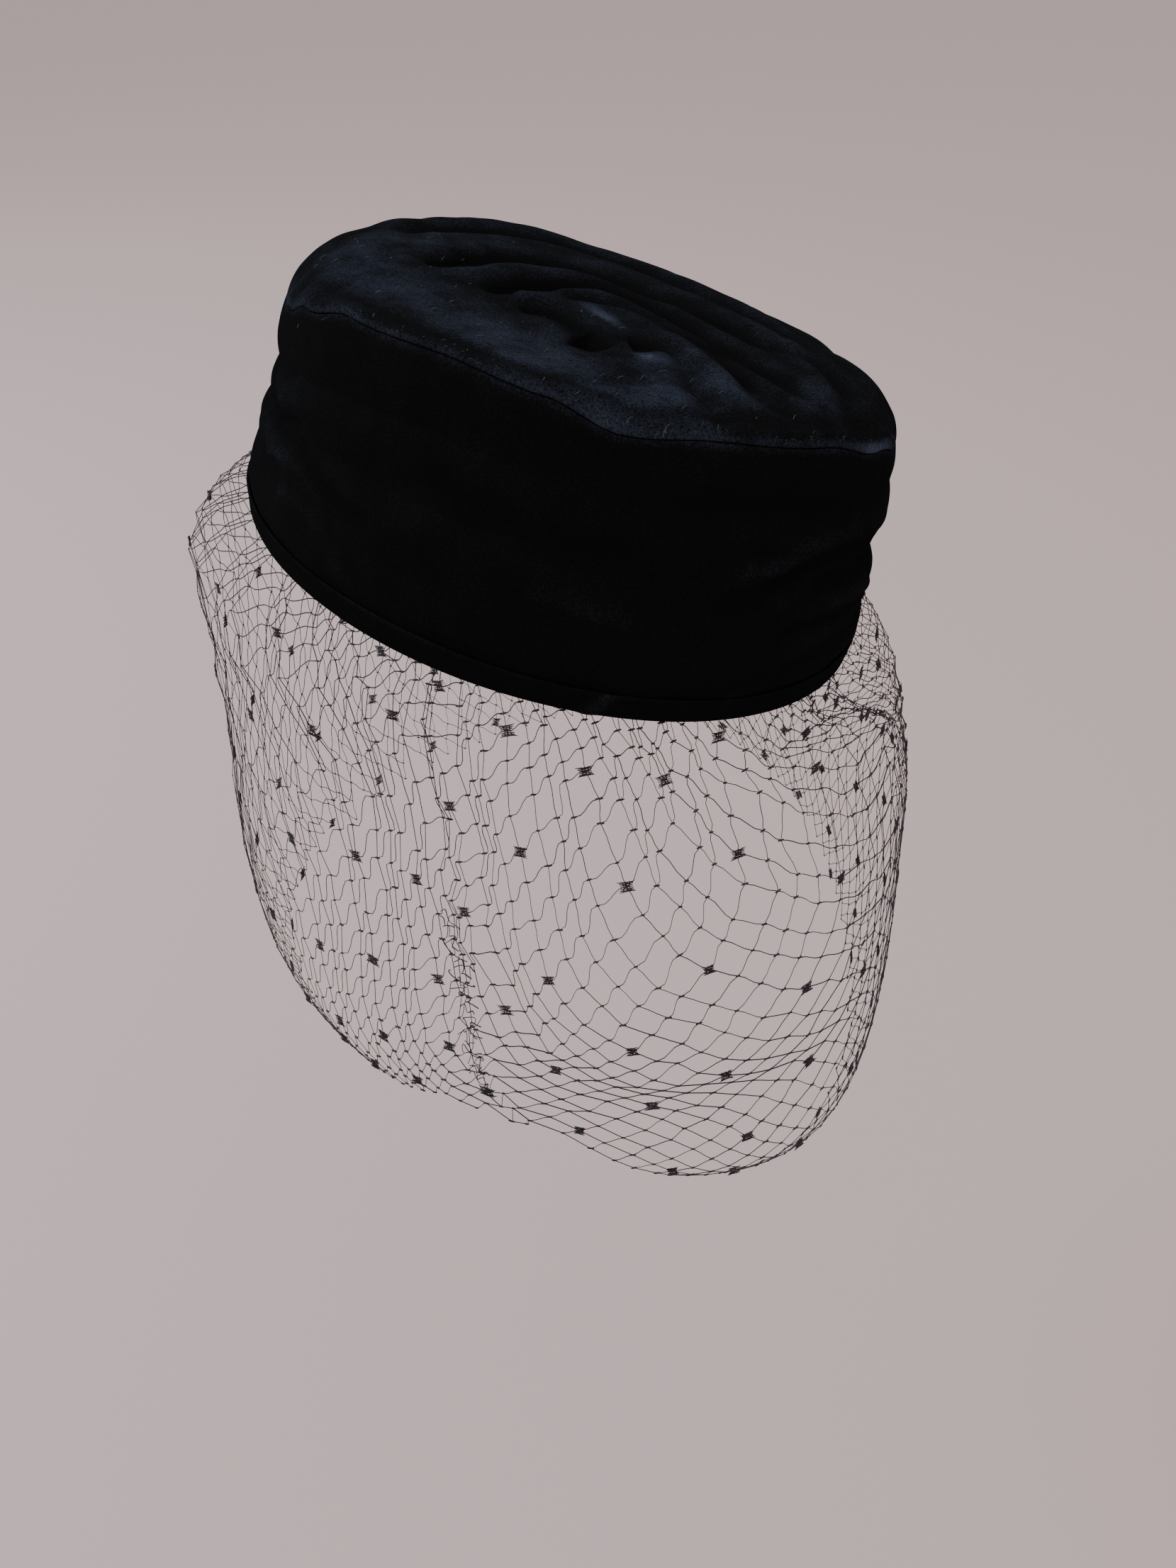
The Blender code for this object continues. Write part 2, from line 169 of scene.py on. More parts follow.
# Painted sheen and painted highlights on the tip, in plan: middle, half sizes in mm and strength
TIP_PAINTED_SHEEN = [
    (-60, 6, 15, 42, 0.55), (-54, -42, 14, 20, 0.85), (-42, -72, 17, 9, 0.75), (-22, -56, 9, 8, 0.65),
    (-36, 44, 24, 14, 0.35), (-16, -23, 2.4, 6, 2.6), (-24, -51, 2, 3, 2.4), (-15, -73, 5, 7, 0.7),
    (-33, -84, 6, 8, 0.3), (10, -84, 14, 9, 0.3), (-78, 12, 12, 30, 0.2),
]
# A painted highlight on the lip and painted sheen on the side band: bearing, half width in degrees and strength
LIP_PAINTED_HIGHLIGHT = (-76.5, 6.0, 4.2)
SIDE_PAINTED_SHEEN = (168.0, 10.0, 0.05)

# Lint that shows on the tip, in plan
LINT = [
    (-62, 3), (-57, -26), (-73, -35), (-68, -48), (-71, -42), (-49, -43), (-48, -53), (-57, -66), (-47, -68),
    (-37, -71), (-36, -79), (-35, -85), (-32, -87), (-43, -82), (-49, -76), (-21, -75), (-20, -87), (-7, -87),
    (-7, -94), (-56, -34), (-43, -25), (-46, -32), (-79, -14), (-77, -24), (-72, -38),
]

# How many more bits of lint lie scattered on the tip, and how many tufts of fuzz stand along its seam
LOOSE_LINT = 45
SEAM_FUZZ = 80

# Section of the binding, mm: outwards from the band's outer face, and height; and where it has a tuck
BINDING_SECTION = [(0.5, 5.5), (1.35, 4.9), (1.55, 2.6), (1.5, -0.6), (0.6, -1.9), (-0.8, -2.2),
                   (-2.3, -1.7), (-2.9, -0.4), (-2.9, 3.0), (-2.9, 6.0)]
BINDING_TUCK_BEARING = -124.0

# Rings of the veil, mm: how far each hangs below the rim, where its middle lies, and its half sizes. The
# taper narrows a ring towards its front. Leans are in degrees, to the front left and the front right.
VEIL_RINGS = [
    # drop,  side, back, width, length, taper, lean left, lean right
    (0.0,    0.0,  0.0,   81.5,  96.0,  0.00, 10.7,  0.0),
    (12.0,   7.0,  9.0,  106.0, 113.0,  0.02, 10.5,  1.5),
    (34.0,   3.0, -7.0,  108.0, 116.5,  0.07, 10.0,  4.0),
    (62.0,   0.0, -17.0, 106.5, 115.0,  0.12,  9.5,  7.0),
    (92.0,  -5.0, -27.0, 104.5, 113.0,  0.18,  9.0, 10.0),
    (122.0, -4.0, -31.0, 102.0, 107.0,  0.24,  8.5, 13.0),
    (150.0,  7.0, -23.0, 100.0,  99.0,  0.28,  8.0, 16.0),
]
# The gathered heading inside the binding, and the running stitch over it: heights above the rim, how far each lies
# inwards from the band's outer face, and the stitches' number and thickness
HEADING_TOP = 0.0035
HEADING_INSET = 0.0036
STITCHES = 96
STITCH_HEIGHT = 0.0022
STITCH_INSET = 0.0041
STITCH_THREAD = 0.0004

# The mesh of the veil: columns of knots round it, rows of knots down it, and the thickness of its threads. Along a
# row the knots are a column apart, and every other row lies half a column over. Columns at the front, from the
# first to the last near column, are closer together than those at the back.
NET_COLUMNS = 96
NEAR_COLUMNS = (-22.0, 10.0)
NEAR_STEP = 3.2143
NET_ROWS = 38
THREAD = 0.0003
ROW_BEARINGS = (-150.0, -136.0, -122.0, -106.0, -88.0, -60.0, 0.0, 150.0)
ROW_DROPS = [
    # row, how far it hangs in mm at each of those bearings
    (0,    0.0,   0.0,   0.0,   0.0,   0.0,   0.0,   0.0,   0.0),
    (4,    6.0,   9.0,  13.0,  11.0,   8.0,   8.0,  18.0,  18.0),
    (8,   20.0,  30.0,  35.0,  28.0,  17.0,  19.0,  48.0,  48.0),
    (12,  47.0,  60.0,  60.0,  50.0,  39.0,  30.0,  78.0,  80.0),
    (16,  70.0,  78.0,  76.0,  70.0,  62.0,  44.0, 108.0, 112.0),
    (20,  90.0,  88.0,  87.0,  82.0,  77.0,  66.0, 138.0, 144.0),
    (24, 102.5,  97.0,  93.0,  89.0,  86.0,  88.0, 166.0, 174.0),
    (28, 114.0, 108.0, 106.0, 106.0, 104.0, 106.0, 190.0, 200.0),
    (31, 128.0, 122.0, 121.0, 121.0, 120.0, 122.0, 210.0, 220.0),
    (38, 165.0, 158.0, 157.0, 157.0, 157.0, 160.0, 250.0, 260.0),
]
# In front the columns fan out about one column, and are pushed together about another
SPREAD_COLUMN = 1.5
SPREAD_WIDTH = 7.0
PUSH_COLUMN = -15.0
PUSH_WIDTH = 7.0
ROW_SPREADS = [
    # row, bearing of the middle of the spread, how many degrees the columns fan out there, and how many they are
    # pushed together on the hat's right
    (0,  -108.9, -4.0,  2.0),
    (4,  -108.9, -4.0,  5.0),
    (8,  -107.0, 13.0, 16.0),
    (12, -102.0, 28.0, 14.0),
    (16,  -97.0, 33.0,  5.0),
    (20,  -97.0, 36.0,  0.0),
    (24,  -96.8, 38.0,  0.0),
    (38,  -94.0, 38.0,  0.0),
]
# Knots of the front whose places are known
KNOWN_KNOTS = [
    # row, column, bearing, drop in mm
    (4, -12, -147.6, 4.0), (4, -8, -135.0, 9.7), (4, -4, -123.4, 14.0), (4, 0, -113.1, 13.3),
    (4, 4, -102.3, 6.0), (4, 8, -85.6, 9.6), (8, -14, -150.8, 13.6), (8, -10, -144.4, 26.6),
    (8, -2, -122.7, 34.7), (8, 2, -104.4, 27.5), (8, 6, -86.6, 16.2), (12, -8, -146.9, 49.7),
    (12, -4, -136.3, 62.3), (12, 0, -112.4, 54.0), (12, 4, -85.7, 38.2), (12, 8, -67.0, 19.0),
    (16, -2, -125.2, 77.4), (16, 2, -93.2, 64.8), (16, 6, -66.4, 40.3), (20, -4, -137.5, 87.9),
    (24, -6, -149.2, 102.5), (24, -2, -122.8, 92.9), (24, 2, -92.1, 85.7), (28, -4, -135.2, 107.9),
    (28, 0, -105.3, 105.9),
]
# Spread of a known knot's pull in rows; in columns it is half of that
KNOWN_REACH = 5.0
# Relative widths of the meshes along the gathered edge; the pattern repeats round the rim and fades downwards
GATHERS = (1.5, 0.6, 0.7, 1.5, 0.6, 1.1, 1.4, 0.6, 0.7, 1.2, 1.15, 0.75, 0.6, 1.9,
           0.6, 0.3, 1.7, 1.0, 1.3, 0.5, 0.6, 1.6, 0.5, 1.6, 0.6, 0.7, 1.7, 0.6)
# The row at which the gathers have died out
PLEAT_ROWS = 26.0
# A fold that hangs on the hat's right: the rows it spans, its bearing at each, and how tightly it draws in
FOLD = [
    # row, bearing, share drawn in
    (11, -149.0, 0.0),
    (14, -149.5, 0.6),
    (18, -150.2, 0.85),
    (24, -149.2, 0.85),
    (28, -145.0, 0.7),
    (38, -142.0, 0.5),
]
FOLD_WIDTH = 3.8
# Slack bars bunched down that fold: how many, the drops between which they lie in mm, and their bearing
FOLD_LOOPS = 24
LOOP_DROPS = (54.0, 107.0)
LOOP_BEARING = -149.7
# In front one family of threads lies level where the other hangs: the bearings between which they differ and how
# soon that fades beyond, the bearing about which they change over and how soon, and the rows after which a share of
# the difference is lost
FRONT_BEARINGS = (-205.0, -40.0)
FRONT_FADE = 25.0
CHANGE_BEARING = -104.0
CHANGE_WIDTH = 9.0
LEVEL_ROWS = 12.0
LEVEL_LOST = 0.65
# The hem: bearing, and how far below the rim it hangs there in mm; no knot is placed lower than the last value
HEM = [(-180, 150), (-169, 134), (-157, 119), (-149, 114), (-142, 118), (-130, 132), (-118, 144), (-106, 150),
       (0, 150), (90, 150)]
LOWEST_DROP = 152.0
# A dot sits on every fourth knot of every fourth row, and the next row of dots lies two columns over
DOT_EVERY = 4

# Half sizes of a knot along its bar and across it, half sizes of a dot, and the thickness of its strands
KNOT_BAR = 0.00105
KNOT_CORE = 0.00026
DOT_HEIGHT = 0.0017
DOT_WIDTH = 0.0022
DOT_STRAND = 0.00048
LINT_FIBRE = 0.0001


def ease(share):
    """Smooth step from 0 to 1."""
    return share * share * (3.0 - 2.0 * share)


def ramp(share):
    """Smooth step from 0 to 1, level before and after it."""
    return ease(np.clip(share, 0.0, 1.0))


def turn_from(middle, bearing):
    """Degrees from one bearing to another the short way round, from -180 to 180."""
    return (bearing - middle + 180.0) % 360.0 - 180.0


def smoothly(places, values, wanted):
    """Cubic curve through the values at the places, read at the wanted places; values may have columns."""
    places, values, wanted = (np.asarray(a, float) for a in (places, values, wanted))
    slopes = np.gradient(values, places, axis=0)
    at = np.clip(np.searchsorted(places, wanted, side="right") - 1, 0, len(places) - 2)
    run = places[at + 1] - places[at]
    share = (wanted - places[at]) / run
    if values.ndim > 1:
        share, run = share[:, None], run[:, None]
    back = 1.0 - share
    return (values[at] * back * back * (1.0 + 2.0 * share) + slopes[at] * run * share * back * back
            + values[at + 1] * share * share * (3.0 - 2.0 * share) - slopes[at + 1] * run * share * share * back)


def around(table, angles):
    """Reads a table of rows that start with a bearing in degrees, smoothly and closed round the circle."""
    rows = sorted((row[0] % 360.0, *row[1:]) for row in table)
    rows = np.array([(rows[-1][0] - 360.0, *rows[-1][1:]), *rows, (rows[0][0] + 360.0, *rows[0][1:])])
    bearing = np.degrees(angles) % 360.0
    after = np.searchsorted(rows[:, 0], bearing, side="right")
    low, high = rows[after - 1], rows[after]
    share = ease((bearing - low[:, 0]) / (high[:, 0] - low[:, 0]))
    return (low + (high - low) * share[:, None])[:, 1:].T


def oval(angles, reach, height, outward=0.0):
    """Points on the hat's oval: reach scales it and outward moves them square to its side."""
    across, along = HALF_WIDTH * reach, HALF_LENGTH * reach
    normal = np.stack([HALF_LENGTH * np.cos(angles), HALF_WIDTH * np.sin(angles)])
    normal /= np.linalg.norm(normal, axis=0)
    return np.stack([across * np.cos(angles) + normal[0] * outward,
                     along * np.sin(angles) + normal[1] * outward,
                     height + 0.0 * angles], axis=-1)


def lean(left, right):
    """Turn that lowers the front left by one angle and the front right by another, in radians."""
    away = Vector((math.cos(SLANT_BEARING + math.pi / 2), math.sin(SLANT_BEARING + math.pi / 2), 0.0))
    beside = Vector((math.cos(SLANT_BEARING), math.sin(SLANT_BEARING), 0.0))
    return Matrix.Rotation(left, 3, away) @ Matrix.Rotation(right, 3, beside)


def worn(points):
    """Level points of the hat, leaned as it is worn."""
    return points @ np.array(lean(SLANT, 0.0)).T


def wander(seed, angles, size):
    """Slow closed wave round the hat, which keeps a fold from lying level."""
    draws = random.Random(seed)
    wave = sum(draws.uniform(0.5, 1.0) * np.sin(turns * angles + draws.uniform(0.0, 2.0 * math.pi))
               for turns in (2, 3, 5, 8))
    return wave * size / 3.0


def crease_relief(creases, points):
    """Height in metres that a table of creases adds at flat points in millimetres."""
    total = np.zeros(len(points))
    for _, spots, valley, width, left_roll, right_roll in creases:
        spots = np.array(spots, float)
        line = smoothly(np.arange(len(spots)), spots, np.linspace(0.0, len(spots) - 1.0, CREASE_STEPS + 1))
        reach = 5.0 * width
        near = np.all((points > line.min(axis=0) - reach) & (points < line.max(axis=0) + reach), axis=1)
        place = points[near]
        nearest, signed, along = np.full(len(place), 1e9), np.zeros(len(place)), np.zeros(len(place))
        for number, (head, tail) in enumerate(zip(line, line[1:])):
            run = tail - head
            share = np.clip((place - head) @ run / (run @ run), 0.0, 1.0)
            gap = place - head - share[:, None] * run
            distance = np.hypot(gap[:, 0], gap[:, 1])
            closer = distance < nearest
            side = np.sign(run[0] * gap[:, 1] - run[1] * gap[:, 0])
            nearest = np.where(closer, distance, nearest)
            signed = np.where(closer, side * distance, signed)
            along = np.where(closer, (number + share) / CREASE_STEPS, along)
        strength = ramp(along / CREASE_GROWS) * ramp((1.0 - along) / CREASE_FADES)
        strength *= 1.0 - (1.0 - CREASE_TAIL) * along
        dip = valley * np.exp(-(nearest / width) ** 1.6)
        spread = 1.6 * width
        swell = (left_roll * np.exp(-((signed - spread) / spread) ** 2)
                 + right_roll * np.exp(-((signed + spread) / spread) ** 2))
        total[near] += strength * (swell - dip) / 1000.0
    return total


def cockle(points, size):
    """Slight unevenness of handled cloth, in metres, at points in millimetres."""
    draws = random.Random(31)
    total = 0.0
    for _ in range(14):
        turn, wave = draws.uniform(0.0, math.pi), draws.uniform(9.0, 30.0)
        across = points[:, 0] * math.cos(turn) + points[:, 1] * math.sin(turn)
        total = total + np.sin(2.0 * math.pi * across / wave + draws.uniform(0.0, 6.28)) * wave / 30.0
    return total * size / 1000.0


def seam_at(angles):
    """Height in metres, reach and shoulder of the seam."""
    height, reach, shoulder = around(SEAM, angles)
    return height / 1000.0, reach, shoulder


def fold_line(row, angles):
    """Height in metres and reach of one level line of the side band; the row past the last is the seam."""
    if row == len(SIDE_FOLDS):
        height, reach, _ = seam_at(angles)
        return height - GAP / 2.0, reach
    height, reach = around([(b, *SIDE_FOLDS[row][2 + i]) for i, b in enumerate(BEARINGS)], angles)
    if row:
        plain = around([(b, seam_at(np.radians([b]))[0][0]) for b in BEARINGS], angles)[0]
        height = height * seam_at(angles)[0] / plain
    if row > 1:
        height = height + wander(row, angles, 1.3)
        reach = reach + wander(row + 50, angles, 0.004)
    return height / 1000.0, reach


def side_band(angles, up):
    """Points of the side band's outer face and its painted light; up runs from 0 at the rim to 1 at the seam."""
    lines = [fold_line(row, angles) for row in range(len(SIDE_FOLDS) + 1)]
    step = up * len(SIDE_FOLDS)
    below = np.minimum(step.astype(int), len(SIDE_FOLDS) - 1)
    share = step - below
    heights = np.array([line[0] for line in lines])
    reaches = np.array([line[1] for line in lines])
    every = np.arange(len(angles))
    crest = np.array([row[1] == "crest" for row in SIDE_FOLDS])[below]
    bend = np.where(crest, share * share, 1.0 - (1.0 - share) ** 2)
    height = heights[below, every] + (heights[below + 1, every] - heights[below, every]) * share
    reach = reaches[below, every] + (reaches[below + 1, every] - reaches[below, every]) * bend
    flat = np.stack([np.degrees(angles) * MM_PER_DEGREE, height * 1000.0], axis=-1)
    relief = cockle(flat, 0.05)
    for turn in (-360.0, 0.0, 360.0):
        relief += crease_relief([(name, [((b + turn) * MM_PER_DEGREE, h) for b, h in spots], *sizes)
                                 for name, spots, *sizes in SIDE_CREASES], flat)
    fade = ramp(up / RIM_STRIP) * ramp((1.0 - up) / SEAM_STRIP)
    # Painted light: a faint painted sheen all over, stronger about one bearing, a pale line under the seam that is
    # partly fuzz and partly painted sheen, painted highlights on the crests and painted shade in the creases
    middle, half, strength = SIDE_PAINTED_SHEEN
    light = np.exp(-(turn_from(middle, np.degrees(angles)) / half) ** 2)
    painted_light = 0.06 + strength * light + 0.3 * np.exp(-((1.0 - up) / 0.02) ** 2)
    return worn(oval(angles, reach, height, relief * fade)), painted_light + np.clip(relief * 160.0, -0.06, 0.24)


def tip_top(angles, ring):
    """Points of the tip's outer face and its painted light; ring is 0 in the middle and 1 at the seam."""
    height, reach, shoulder = seam_at(angles)
    height = height + GAP / 2.0
    turn = np.clip((ring - (1.0 - LIP_WIDTH)) / LIP_WIDTH, 0.0, 1.0)
    lip = LIP_HEIGHT * np.sqrt(1.0 - turn * turn)
    rise = (TIP_HEIGHT - LIP_HEIGHT - height) * (1.0 - ring ** shoulder)
    place = oval(angles, reach * ring, 0.0)
    flat = place[:, :2] * 1000.0
    relief = crease_relief(TIP_CREASES, flat) + cockle(flat, 0.06)
    place[:, 2] = height + lip + rise + relief * ease(np.minimum(1.0, (1.0 - ring) / SMOOTH_EDGE))
    # Painted light: a painted sheen all over, with painted sheen patches and painted highlights from the table
    painted_light = 0.18 + sum(strength * np.exp(-((flat[:, 0] - x) / wide) ** 2 - ((flat[:, 1] - y) / long) ** 2)
                      for x, y, wide, long, strength in TIP_PAINTED_SHEEN)
    # Painted shade in a band just inside the lip
    painted_light = painted_light * np.clip(1.0 - 0.6 * np.exp(-((1.0 - ring - 0.06) / 0.035) ** 2), 0.0, 1.0)
    # A pale line round the lip, partly fuzz and partly painted sheen, with a painted highlight at its front right;
    # painted highlights on the crests and painted shade in the creases
    middle, half, strength = LIP_PAINTED_HIGHLIGHT
    edge = 0.4 + strength * np.exp(-(turn_from(middle, np.degrees(angles)) / half) ** 2)
    painted_light = painted_light + edge * np.exp(-((1.0 - ring) / 0.007) ** 2) + np.clip(relief * 160.0, -0.6, 0.4)
    return worn(place), np.clip(painted_light, 0.0, 4.5)


def on_tip(flat):
    """Places on the tip above plan points in millimetres."""
    across, along = flat[:, 0] / 1000.0 / HALF_WIDTH, flat[:, 1] / 1000.0 / HALF_LENGTH
    angles = np.arctan2(along, across)
    return tip_top(angles, np.hypot(across, along) / seam_at(angles)[1])[0]


def rim_reach(angles, height):
    """Reach of the side band's outer face close above the rim."""
    low_height, low_reach = fold_line(0, angles)
    high_height, high_reach = fold_line(1, angles)
    share = np.maximum(0.0, (height - low_height) / (high_height - low_height))
    return low_reach + (high_reach - low_reach) * share * share


def binding_strip(angles, round_it):
    """Points of the binding's outer face and its painted light; round_it runs from 0 at its outer edge to 1 at its
    inner edge.
    """
    places = np.linspace(0.0, 1.0, len(BINDING_SECTION))
    outward, height = smoothly(places, BINDING_SECTION, round_it).T / 1000.0
    edge = np.maximum(0.0, 1.0 - round_it / 0.22)
    height = height + wander(90, angles, 0.0006) * edge
    off = turn_from(BINDING_TUCK_BEARING, np.degrees(angles))
    tuck = np.exp(-((off * MM_PER_DEGREE - height * 700.0) / 2.2) ** 2) * 0.0007
    outward = outward + np.where(outward > -0.001, tuck, 0.0)
    # Painted light: a faint painted sheen, a painted highlight on the tuck, and a pale line along the top edge that
    # is partly fuzz and partly painted highlight
    painted_light = 0.05 + 800.0 * tuck + 0.25 * np.exp(-((round_it - 0.04) / 0.04) ** 2)
    return worn(oval(angles, rim_reach(angles, height), height, outward)), painted_light


def veil(angles, drops):
    """Points of the veil's surface; drops are in millimetres below the rim."""
    rings = np.array(VEIL_RINGS)
    _, side, back, width, length, taper, left, right = smoothly(rings[:, 0], rings, drops).T
    points = np.zeros((len(angles), 3))
    for i, angle in enumerate(angles):
        across = width[i] * math.cos(angle) * (1.0 + taper[i] * math.sin(angle))
        turn = lean(math.radians(left[i]), math.radians(right[i]))
        points[i] = turn @ Vector((across, length[i] * math.sin(angle), 0.0)) \
            + Vector((side[i], back[i], -drops[i]))
    return points / 1000.0


def net_base(rows, columns):
    """Regular places of the net's knots: bearing in degrees, drop in mm, and how far each stands out in mm."""
    spreads = np.array(ROW_SPREADS)
    middle, strength, push = smoothly(spreads[:, 0], spreads[:, 1:], rows).T
    half = NET_COLUMNS / 2.0
    off = (columns - SPREAD_COLUMN + half) % NET_COLUMNS - half
    widths = np.array(GATHERS) / np.mean(GATHERS)
    gathered = np.cumsum(widths) - widths - np.arange(len(widths))
    gathered -= gathered.mean()
    numbers = [np.round(rows / 2.0 + way * (off + SPREAD_COLUMN)).astype(int) % len(widths) for way in (-1, 1)]
    right = ramp((off + 14.0) / 28.0)
    depth = ramp(1.0 - rows / PLEAT_ROWS) * ramp((off + 44.0) / 14.0) * ramp((26.0 - off) / 18.0)
    shift = depth * (right * gathered[numbers[1]] - (1.0 - right) * gathered[numbers[0]])
    # A bar of one length hangs lower across a narrow mesh than across a wide one
    steep = np.sqrt(1.0 - (0.95 * widths / widths.max()) ** 2)
    steep -= steep.mean()
    hung = np.cumsum(steep) - steep
    hung -= hung.mean()
    sag = depth * (right * hung[numbers[1]] + (1.0 - right) * hung[numbers[0]])
    closed = 1.0 - np.where(right > 0.5, widths[numbers[1]], widths[numbers[0]])
    bulge = depth * np.clip(closed, 0.0, 1.0) * np.where(rows % 2, -2.4, 2.4)
    off = off + shift
    near = np.clip(off, *NEAR_COLUMNS)
    span = NEAR_COLUMNS[1] - NEAR_COLUMNS[0]
    turned = near * NEAR_STEP + (off - near) * (360.0 - span * NEAR_STEP) / (NET_COLUMNS - span)
    fan = np.tanh(off / SPREAD_WIDTH) - turned / 180.0
    pushed = np.exp(-((off + SPREAD_COLUMN - PUSH_COLUMN) / PUSH_WIDTH) ** 2)
    bearing = middle + turned + strength * fan + push * pushed
    table = np.array(ROW_DROPS)
    levels = smoothly(table[:, 0], table[:, 1:], rows)
    first = ROW_BEARINGS[-1] - 360.0
    places = np.array([first, *ROW_BEARINGS])
    wrapped = (bearing - first) % 360.0 + first
    drop = np.array([np.interp(place, places, [level[-1], *level]) for place, level in zip(wrapped, levels)])
    return bearing, drop + sag, bulge


def net_knots(rows, columns):
    """Places of the net's knots, with the regular net moved so that the known knots are where they should be."""
    known = np.array(KNOWN_KNOTS, float)

    def nearness(rows, columns):
        aside = (columns[:, None] - known[:, 1] + NET_COLUMNS / 2.0) % NET_COLUMNS - NET_COLUMNS / 2.0
        return np.exp(-((rows[:, None] - known[:, 0]) ** 2 + (2.0 * aside) ** 2) / (2.0 * KNOWN_REACH ** 2))

    bearing, drop, _ = net_base(known[:, 0], known[:, 1])
    pull = np.linalg.solve(nearness(known[:, 0], known[:, 1]), known[:, 2:] - np.stack([bearing, drop], axis=1))
    bearing, drop, bulge = net_base(rows, columns)
    bearing, drop = (np.stack([bearing, drop], axis=1) + nearness(rows, columns) @ pull).T
    folds = np.array(FOLD)
    line, share = (np.interp(rows, folds[:, 0], column) for column in folds[:, 1:].T)
    off = turn_from(line, bearing)
    drawn = share * np.exp(-(off / FOLD_WIDTH) ** 2)
    bulge = bulge + drawn * np.where(rows % 2, -2.0, 2.0)
    return np.radians(bearing - off * drawn), np.maximum(drop, 0.0), bulge


def linear(colour):
    """Turns an sRGB hex colour into the linear values that shaders take."""
    shares = [int(colour[i:i + 2], 16) / 255.0 for i in (1, 3, 5)]
    return (*(s / 12.92 if s <= 0.04045 else ((s + 0.055) / 1.055) ** 2.4 for s in shares), 1.0)


def new_material(name):
    """An empty material with a Principled shader; returns the material, its node tree and the shader."""
    made = bpy.data.materials.new(name)
    made.use_nodes = True
    return made, made.node_tree, made.node_tree.nodes["Principled BSDF"]


def add_node(tree, kind, settings=None, **links):
    """Adds a node; settings are its properties or socket values, links are sockets it reads from."""
    node = tree.nodes.new(kind)
    for name, value in (settings or {}).items():
        if name in node.inputs:
            node.inputs[name].default_value = value
        else:
            setattr(node, name, value)
    for name, source in links.items():
        tree.links.new(source, node.inputs[name])
    return node


def wrapped_grid(name, columns, rows, place, finish):
    """Cloth from a grid primitive. place(across, up) gives each corner's place and its painted light: painted sheen,
    painted highlights and painted shade.
    """
    bpy.ops.object.select_all(action="DESELECT")
    bpy.ops.mesh.primitive_grid_add(x_subdivisions=columns, y_subdivisions=rows, size=1.0)
    piece = bpy.context.object
    piece.name = piece.data.name = name
    corners = np.zeros(len(piece.data.vertices) * 3)
    piece.data.vertices.foreach_get("co", corners)
    corners = corners.reshape(-1, 3)
    moved, pile_and_painted_sheen = place(corners[:, 0] + 0.5, corners[:, 1] + 0.5)
    piece.data.vertices.foreach_set("co", moved.ravel())
    # The attribute holds the painted light: painted sheen, painted highlights and painted shade
    piece.data.attributes.new("pile_and_painted_sheen", "FLOAT", "POINT").data.foreach_set("value", pile_and_painted_sheen)
    bpy.ops.object.mode_set(mode="EDIT")
    bpy.ops.mesh.select_all(action="SELECT")
    bpy.ops.mesh.remove_doubles(threshold=0.00001)
    bpy.ops.object.mode_set(mode="OBJECT")
    piece.data.materials.append(finish)
    return piece


def give_wall(piece, thickness):
    """Gives a sheet its wall on the inner side and applies it."""
    wall = piece.modifiers.new("Cloth thickness", "SOLIDIFY")
    wall.thickness = thickness
    wall.offset = -1.0
    bpy.context.view_layer.objects.active = piece
    bpy.ops.object.modifier_apply(modifier=wall.name)
    bpy.ops.object.shade_smooth()


def face_up_or_out(piece, outside):
    """Turns a sheet over if more of its faces look away from the side that outside(middles) gives."""
    count = len(piece.data.polygons)
    normals, middles = np.zeros(count * 3), np.zeros(count * 3)
    piece.data.polygons.foreach_get("normal", normals)
    piece.data.polygons.foreach_get("center", middles)
    towards = outside(middles.reshape(-1, 3))
    if np.mean(np.sum(normals.reshape(-1, 3) * towards, axis=1) > 0.0) < 0.5:
        piece.data.flip_normals()


def from_axis(middles):
    """Directions straight out from the hat's axis."""
    return middles * np.array([1.0, 1.0, 0.0])


def make_side(finish):
    piece = wrapped_grid("velvet_side", SIDE_COLUMNS, LINES_PER_FOLD * len(SIDE_FOLDS),
                         lambda across, up: side_band(across * 2.0 * math.pi, up), finish)
    face_up_or_out(piece, from_axis)
    give_wall(piece, CLOTH)
    return piece


def disc(across, along):
    """Spreads a square evenly on a disc: bearing in radians and distance from the middle, 0 to 1."""
    a, b = across * 2.0 - 1.0, along * 2.0 - 1.0
    wide = np.abs(a) > np.abs(b)
    radius = np.where(wide, a, b)
    safe = np.where(np.abs(radius) < 1e-12, 1.0, radius)
    turn = np.where(wide, math.pi / 4 * b / safe, math.pi / 2 - math.pi / 4 * a / safe)
    turn = np.where(radius < 0.0, turn + math.pi, turn)
    return turn, np.abs(radius)


def make_tip(finish):
    def place(across, along):
        angle, distance = disc(across, along)
        ring = distance * (1.3 - 0.3 * distance ** 3)
        return tip_top(angle, np.minimum(ring, 1.0))

    piece = wrapped_grid("velvet_tip", TIP_SQUARES, TIP_SQUARES, place, finish)
    face_up_or_out(piece, lambda middles: np.array([0.0, 0.0, 1.0]))
    give_wall(piece, CLOTH)
    return piece


def make_binding(finish):
    piece = wrapped_grid("rim_binding_strip", BINDING_COLUMNS, BINDING_LINES,
                         lambda across, up: binding_strip(across * 2.0 * math.pi, up), finish)

    def outside(middles):
        angles = np.arctan2(middles[:, 1], middles[:, 0])
        line = oval(angles, 0.975, 0.0)
        inner = np.hypot(middles[:, 0], middles[:, 1]) < np.hypot(line[:, 0], line[:, 1])
        return from_axis(middles) * np.where(inner, -1.0, 1.0)[:, None]

    face_up_or_out(piece, outside)
    give_wall(piece, BINDING_CLOTH)
    return piece


